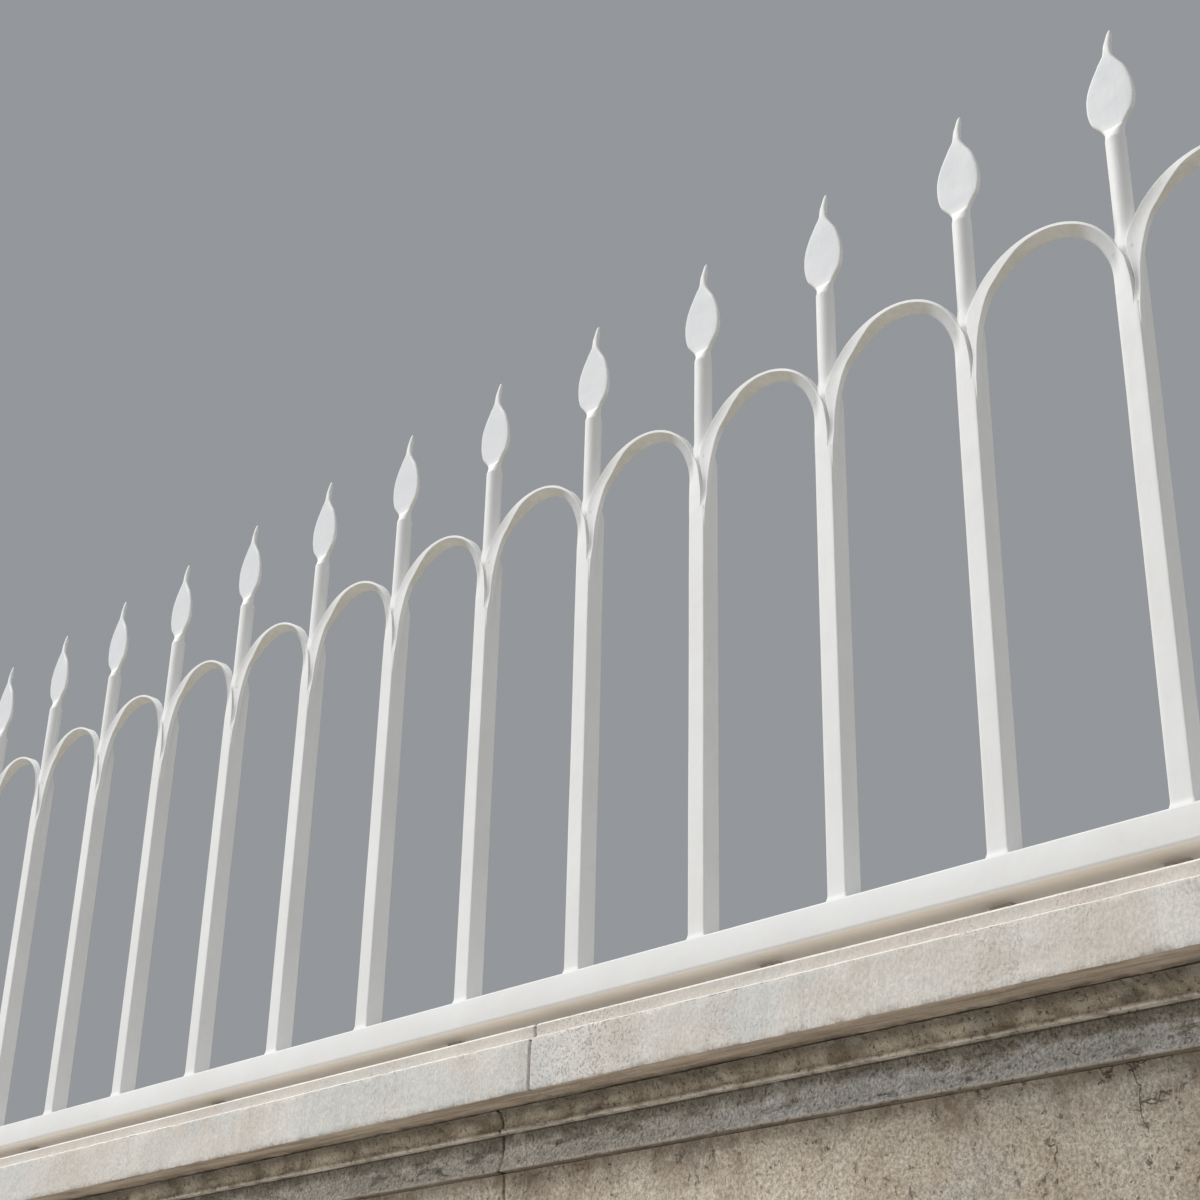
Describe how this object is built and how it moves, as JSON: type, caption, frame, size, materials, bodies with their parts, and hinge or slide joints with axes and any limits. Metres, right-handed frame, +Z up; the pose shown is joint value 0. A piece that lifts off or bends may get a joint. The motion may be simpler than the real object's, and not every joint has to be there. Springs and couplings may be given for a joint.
{
  "type": "spear top railing on a coping wall",
  "caption": "White wrought metal railing of square pickets with leaf spear heads and small arches, standing on a moulded stone coping and its wall.",
  "frame": {"origin": "on the ground, under the middle of the whole object", "axes": "+X along the railing, -Y towards the street, which the railing stands nearest, +Z up"},
  "size_m": [2.4, 0.332, 1.946],
  "materials": {
    "white_paint": "satin",
    "foot_metal": "rough",
    "coping_stone": "rough",
    "moulding_stone": "rough",
    "wall_stone": "rough"
  },
  "bodies": {
    "root": {"arch_01": "white_paint", "arch_02": "white_paint", "arch_03": "white_paint", "arch_04": "white_paint", "arch_05": "white_paint", "arch_06": "white_paint", "arch_07": "white_paint", "arch_08": "white_paint", "arch_09": "white_paint", "arch_10": "white_paint", "arch_11": "white_paint", "arch_12": "white_paint", "arch_13": "white_paint", "arch_14": "white_paint", "base_rail": "white_paint", "coping_stone_1": "coping_stone", "coping_stone_2": "coping_stone", "coping_stone_3": "coping_stone", "moulding_stone_1": "moulding_stone", "moulding_stone_2": "moulding_stone", "moulding_stone_3": "moulding_stone", "rail_foot_01": "foot_metal", "rail_foot_02": "foot_metal", "rail_foot_03": "foot_metal", "rail_foot_04": "foot_metal", "rail_foot_05": "foot_metal", "rail_foot_06": "foot_metal", "rail_foot_07": "foot_metal", "rail_foot_08": "foot_metal", "spear_picket_01": "white_paint", "spear_picket_02": "white_paint", "spear_picket_03": "white_paint", "spear_picket_04": "white_paint", "spear_picket_05": "white_paint", "spear_picket_06": "white_paint", "spear_picket_07": "white_paint", "spear_picket_08": "white_paint", "spear_picket_09": "white_paint", "spear_picket_10": "white_paint", "spear_picket_11": "white_paint", "spear_picket_12": "white_paint", "spear_picket_13": "white_paint", "spear_picket_14": "white_paint", "spear_picket_15": "white_paint", "wall": "wall_stone"}
  },
  "joints": []
}
